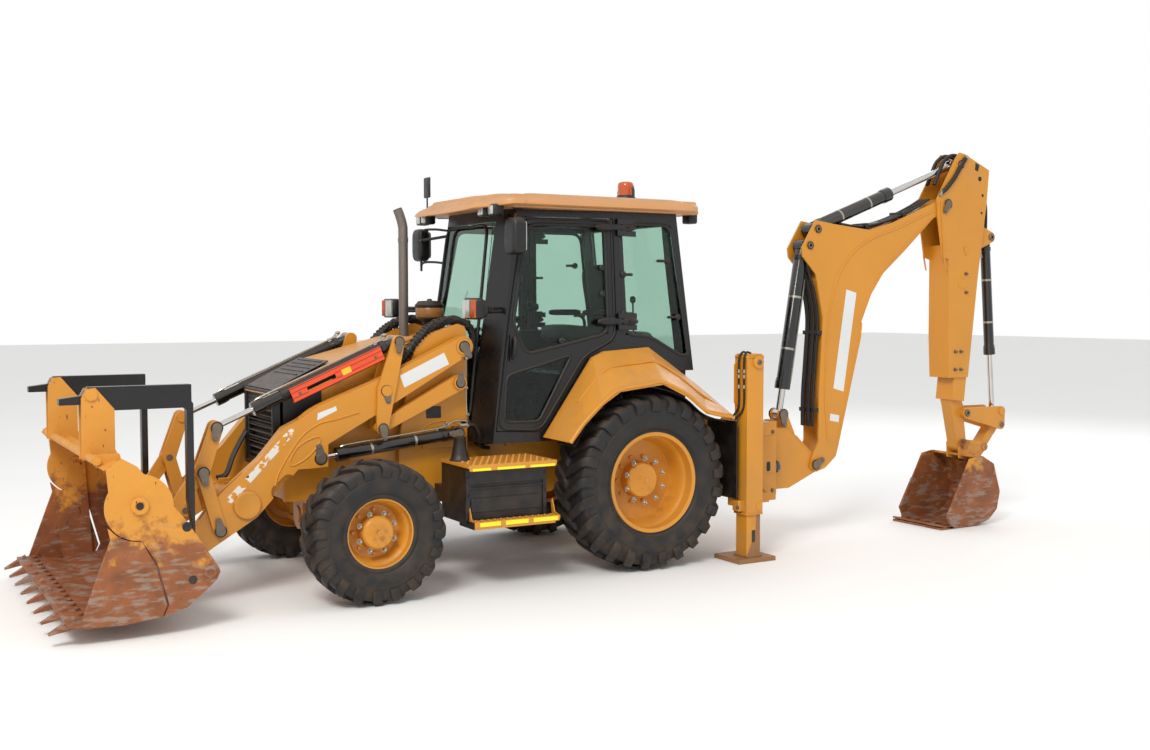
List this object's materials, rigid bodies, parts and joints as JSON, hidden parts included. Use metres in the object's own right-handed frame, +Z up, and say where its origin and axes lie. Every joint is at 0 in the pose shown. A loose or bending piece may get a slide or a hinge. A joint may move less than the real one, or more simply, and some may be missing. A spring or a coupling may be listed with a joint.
{
  "type": "backhoe loader",
  "caption": "Yellow backhoe loader with a four-in-one front bucket, fold-over pallet forks, black-framed cab, and a side-shifting extending backhoe held upright.",
  "frame": {"origin": "on the ground under the middle of the machine", "axes": "+X forward, +Y to the machine's left, +Z up"},
  "size_m": [8.485, 2.39, 3.395],
  "materials": {
    "body_yellow": "worn satin yellow paint",
    "roof_tan": "faded satin paint",
    "cab_black": "satin black paint",
    "worn_bucket": "yellow paint worn to brown rust and grey steel",
    "barrel_black": "gloss black paint",
    "rod_chrome": "polished hard chrome",
    "pin_steel": "turned steel, greased",
    "engine_iron": "plain cast block",
    "stack_metal": "dull grey heat-stained",
    "black_plastic": "moulded matte black",
    "seat_vinyl": "dark seat cloth and vinyl",
    "window_glass": "light green tinted glass",
    "tyre_rubber": "dusty black rubber"
  },
  "bodies": {
    "chassis": {"chassis_frame": "body_yellow", "engine_block": "engine_iron", "axles": "body_yellow", "hood_body": "body_yellow", "exhaust_stack": "stack_metal", "air_precleaner": "black_plastic", "cab_frame": "cab_black", "cab_glass": "window_glass", "cab_interior": "seat_vinyl", "cab_roof": "roof_tan", "rear_fenders": "body_yellow", "step_boxes": "body_yellow", "lamps_and_mirrors": "black_plastic", "stabiliser_housings": "body_yellow"},
    "hood": {"hood_lid": "body_yellow"},
    "left_door": {"door_left": "cab_black", "door_glass_left": "window_glass"},
    "right_door": {"door_right": "cab_black", "door_glass_right": "window_glass"},
    "left_knuckle": {"steering_knuckle_left": "body_yellow"},
    "right_knuckle": {"steering_knuckle_right": "body_yellow"},
    "front_wheel_left": {"front_rim_left": "body_yellow", "front_tyre_left": "tyre_rubber"},
    "front_wheel_right": {"front_rim_right": "body_yellow", "front_tyre_right": "tyre_rubber"},
    "rear_wheel_left": {"rear_rim_left": "body_yellow", "rear_tyre_left": "tyre_rubber"},
    "rear_wheel_right": {"rear_rim_right": "body_yellow", "rear_tyre_right": "tyre_rubber"},
    "arms": {"loader_arms": "body_yellow"},
    "rear_levers": {"rear_levers": "body_yellow"},
    "lower_links": {"lower_links": "body_yellow"},
    "lift_barrels": {"lift_barrels": "barrel_black"},
    "lift_rods": {"lift_rods": "rod_chrome"},
    "tilt_barrels": {"tilt_barrels": "barrel_black"},
    "tilt_rods": {"tilt_rods": "rod_chrome"},
    "bucket_pins": {"bucket_pins": "pin_steel"},
    "front_link_pins": {"front_link_pins": "pin_steel"},
    "front_links": {"front_links": "body_yellow"},
    "front_lever_pins": {"front_lever_pins": "pin_steel"},
    "front_levers": {"front_levers": "body_yellow"},
    "bucket": {"bucket_back": "worn_bucket"},
    "jaw": {"bucket_jaw": "worn_bucket"},
    "forks": {"loader_forks": "cab_black"},
    "stabiliser_left": {"stabiliser_leg_left": "body_yellow"},
    "stabiliser_right": {"stabiliser_leg_right": "body_yellow"},
    "carriage": {"backhoe_carriage": "body_yellow"},
    "post": {"swing_post": "body_yellow"},
    "boom": {"backhoe_boom": "body_yellow"},
    "stick": {"backhoe_stick": "body_yellow"},
    "extension": {"stick_extension": "body_yellow"},
    "boom_barrel": {"boom_barrel": "barrel_black"},
    "boom_rod": {"boom_rod": "rod_chrome"},
    "stick_barrel": {"stick_barrel": "barrel_black"},
    "stick_rod": {"stick_rod": "rod_chrome"},
    "bucket_barrel": {"bucket_barrel": "barrel_black"},
    "bucket_rod": {"bucket_rod": "rod_chrome"},
    "guide_links": {"bucket_guide_links": "body_yellow"},
    "bucket_link": {"bucket_link": "body_yellow"},
    "hoe_bucket": {"backhoe_bucket": "worn_bucket"}
  },
  "joints": [
    {"name": "steer_left", "type": "hinge", "parent": "chassis", "child": "left_knuckle", "pos_m": [2.1585, 0.69, 0.49], "axis": [0, 0, 1], "range_deg": [-38, 38]},
    {"name": "steer_right", "type": "hinge", "parent": "chassis", "child": "right_knuckle", "pos_m": [2.1585, -0.69, 0.49], "axis": [0, 0, 1], "range_deg": [-39, 39]},
    {"name": "roll_front_left", "type": "hinge", "parent": "left_knuckle", "child": "front_wheel_left", "pos_m": [2.1585, 0.945, 0.49], "axis": [0, 1, 0], "continuous": true},
    {"name": "roll_front_right", "type": "hinge", "parent": "right_knuckle", "child": "front_wheel_right", "pos_m": [2.1585, -0.945, 0.49], "axis": [0, 1, 0], "continuous": true},
    {"name": "roll_rear_left", "type": "hinge", "parent": "chassis", "child": "rear_wheel_left", "pos_m": [-0.0515, 0.857, 0.676], "axis": [0, 1, 0], "continuous": true},
    {"name": "roll_rear_right", "type": "hinge", "parent": "chassis", "child": "rear_wheel_right", "pos_m": [-0.0515, -0.857, 0.676], "axis": [0, 1, 0], "continuous": true},
    {"name": "hood_open", "type": "hinge", "parent": "chassis", "child": "hood", "pos_m": [1.5735, 0, 1.776], "axis": [0, -1, 0], "range_deg": [0, 45]},
    {"name": "door_left_open", "type": "hinge", "parent": "chassis", "child": "left_door", "pos_m": [0.07205, 0.7442, 2.25], "axis": [-0.0115, -0.0462, 0.9989], "range_deg": [0, 75]},
    {"name": "door_right_open", "type": "hinge", "parent": "chassis", "child": "right_door", "pos_m": [0.07205, -0.7442, 2.25], "axis": [0.0115, -0.0462, -0.9989], "range_deg": [0, 75]},
    {"name": "lift", "type": "hinge", "parent": "chassis", "child": "arms", "pos_m": [1.2825, 0, 1.711], "axis": [0, -1, 0], "range_deg": [-4, 80]},
    {"name": "rear_lever_turn", "type": "hinge", "parent": "arms", "child": "rear_levers", "pos_m": [1.9005, 0, 1.408], "axis": [0, -1, 0], "range_deg": [-81, 5]},
    {"name": "lower_link_turn", "type": "hinge", "parent": "chassis", "child": "lower_links", "pos_m": [1.3135, 0, 1.445], "axis": [0, -1, 0], "range_deg": [-5, 81]},
    {"name": "lift_barrel_turn", "type": "hinge", "parent": "chassis", "child": "lift_barrels", "pos_m": [1.3235, 0, 1.075], "axis": [0, -1, 0], "range_deg": [-4.38, 68.6]},
    {"name": "lift_rod_slide", "type": "slide", "parent": "lift_barrels", "child": "lift_rods", "axis": [0.9933, 0, -0.1158], "range_m": [-0.042, 0.769]},
    {"name": "tilt_barrel_turn", "type": "hinge", "parent": "rear_levers", "child": "tilt_barrels", "pos_m": [1.8035, 0, 1.756], "axis": [0, -1, 0], "range_deg": [-4.7, 75.03]},
    {"name": "bucket_tilt", "type": "hinge", "parent": "bucket_pins", "child": "bucket", "pos_m": [3.2985, 0, 0.366], "axis": [0, 1, 0], "range_deg": [-40, 45]},
    {"name": "tilt_rod_slide", "type": "slide", "parent": "tilt_barrels", "child": "tilt_rods", "axis": [0.9189, 0, -0.3944], "range_m": [-0.214, 0.24]},
    {"name": "bucket_level", "type": "hinge", "parent": "arms", "child": "bucket_pins", "pos_m": [3.2985, 0, 0.366], "axis": [0, -1, 0], "range_deg": [-81, 5]},
    {"name": "front_link_level", "type": "hinge", "parent": "arms", "child": "front_link_pins", "pos_m": [3.0885, 0, 0.512], "axis": [0, -1, 0], "range_deg": [-57, 3.8]},
    {"name": "front_link_turn", "type": "hinge", "parent": "front_link_pins", "child": "front_links", "pos_m": [3.0885, 0, 0.512], "axis": [0, -1, 0], "range_deg": [-29.8, 26.6]},
    {"name": "front_lever_level", "type": "hinge", "parent": "front_links", "child": "front_lever_pins", "pos_m": [3.1965, 0, 0.91], "axis": [0, -1, 0], "range_deg": [-2.88, 38.6]},
    {"name": "front_lever_turn", "type": "hinge", "parent": "front_lever_pins", "child": "front_levers", "pos_m": [3.1965, 0, 0.91], "axis": [0, -1, 0], "range_deg": [-28.6, 32.05]},
    {"name": "jaw_open", "type": "hinge", "parent": "bucket", "child": "jaw", "pos_m": [3.7265, 0, 0.815], "axis": [0, -1, 0], "range_deg": [0, 60]},
    {"name": "forks_over", "type": "hinge", "parent": "bucket", "child": "forks", "pos_m": [3.9205, 0, 1.462], "axis": [0, 1, 0], "range_deg": [0, 254]},
    {"name": "stabiliser_left_slide", "type": "slide", "parent": "chassis", "child": "stabiliser_left", "axis": [0, 0, 1], "range_m": [-0.18, 0.31]},
    {"name": "stabiliser_right_slide", "type": "slide", "parent": "chassis", "child": "stabiliser_right", "axis": [0, 0, 1], "range_m": [-0.18, 0.31]},
    {"name": "side_shift", "type": "slide", "parent": "chassis", "child": "carriage", "axis": [0, 1, 0], "range_m": [-1.2, 0]},
    {"name": "swing", "type": "hinge", "parent": "carriage", "child": "post", "pos_m": [-1.5115, 0.6, 0.74], "axis": [0, 0, 1], "range_deg": [-87, 87]},
    {"name": "boom_turn", "type": "hinge", "parent": "post", "child": "boom", "pos_m": [-1.9395, 0.6, 0.655], "axis": [0, 1, 0], "range_deg": [-110, 6]},
    {"name": "boom_barrel_turn", "type": "hinge", "parent": "boom", "child": "boom_barrel", "pos_m": [-1.8545, 0.6, 2.518], "axis": [0, -1, 0], "range_deg": [-1.01, 1.22]},
    {"name": "boom_rod_slide", "type": "slide", "parent": "boom_barrel", "child": "boom_rod", "axis": [0.167, 0, -0.986], "range_m": [-0.054, 0.926]},
    {"name": "stick_turn", "type": "hinge", "parent": "boom", "child": "stick", "pos_m": [-3.4435, 0.6, 2.925], "axis": [0, 1, 0], "range_deg": [-2, 110]},
    {"name": "stick_barrel_turn", "type": "hinge", "parent": "boom", "child": "stick_barrel", "pos_m": [-1.9395, 0.6, 2.658], "axis": [0, -1, 0], "range_deg": [-1.86, 1.02]},
    {"name": "stick_rod_slide", "type": "slide", "parent": "stick_barrel", "child": "stick_rod", "axis": [-0.9352, 0, 0.3542], "range_m": [-0.662, 0.016]},
    {"name": "stick_extend", "type": "slide", "parent": "stick", "child": "extension", "axis": [0.1103, 0, -0.9939], "range_m": [0, 1]},
    {"name": "hoe_bucket_turn", "type": "hinge", "parent": "extension", "child": "hoe_bucket", "pos_m": [-3.7415, 0.6, 0.72], "axis": [0, 1, 0], "range_deg": [-100, 45]},
    {"name": "guide_link_turn", "type": "hinge", "parent": "extension", "child": "guide_links", "pos_m": [-3.7415, 0.6, 1.02], "axis": [0, -1, 0], "range_deg": [-26.99, 58.75]},
    {"name": "bucket_link_turn", "type": "hinge", "parent": "guide_links", "child": "bucket_link", "pos_m": [-4.1965, 0.6, 0.894], "axis": [0, -1, 0], "range_deg": [-50.92, 23.46]},
    {"name": "bucket_barrel_turn", "type": "hinge", "parent": "extension", "child": "bucket_barrel", "pos_m": [-4.0615, 0.6, 2.645], "axis": [0, -1, 0], "range_deg": [-3.35, 6.21]},
    {"name": "bucket_rod_slide", "type": "slide", "parent": "bucket_barrel", "child": "bucket_rod", "axis": [-0.0822, 0, -0.9966], "range_m": [-0.187, 0.41]}
  ],
  "couplings": [
    {"joint": "steer_right", "follows": "steer_left", "ratio": 1},
    {"joint": "rear_lever_turn", "follows": "lift", "ratio": -1},
    {"joint": "lower_link_turn", "follows": "lift", "ratio": 1},
    {"joint": "lift_barrel_turn", "follows": "lift", "ratio": 0.845},
    {"joint": "lift_rod_slide", "follows": "lift", "m_per_rad": 0.548},
    {"joint": "tilt_barrel_turn", "follows": "lift", "ratio": 0.9254},
    {"joint": "tilt_rod_slide", "follows": "bucket_tilt", "m_per_rad": 0.3003},
    {"joint": "bucket_level", "follows": "lift", "ratio": -1},
    {"joint": "front_link_level", "follows": "lift", "ratio": -0.7},
    {"joint": "front_link_turn", "follows": "bucket_tilt", "ratio": -0.64},
    {"joint": "front_lever_level", "follows": "lift", "ratio": 0.47},
    {"joint": "front_lever_turn", "follows": "bucket_tilt", "ratio": 0.69},
    {"joint": "boom_barrel_turn", "follows": "boom_turn", "ratio": -0.002},
    {"joint": "boom_rod_slide", "follows": "boom_turn", "m_per_rad": -0.4803},
    {"joint": "stick_barrel_turn", "follows": "stick_turn", "ratio": -0.0078},
    {"joint": "stick_rod_slide", "follows": "stick_turn", "m_per_rad": -0.3429},
    {"joint": "guide_link_turn", "follows": "hoe_bucket_turn", "ratio": -0.5775},
    {"joint": "bucket_link_turn", "follows": "hoe_bucket_turn", "ratio": 0.4992},
    {"joint": "bucket_barrel_turn", "follows": "hoe_bucket_turn", "ratio": -0.0521},
    {"joint": "bucket_rod_slide", "follows": "hoe_bucket_turn", "m_per_rad": -0.2328}
  ]
}
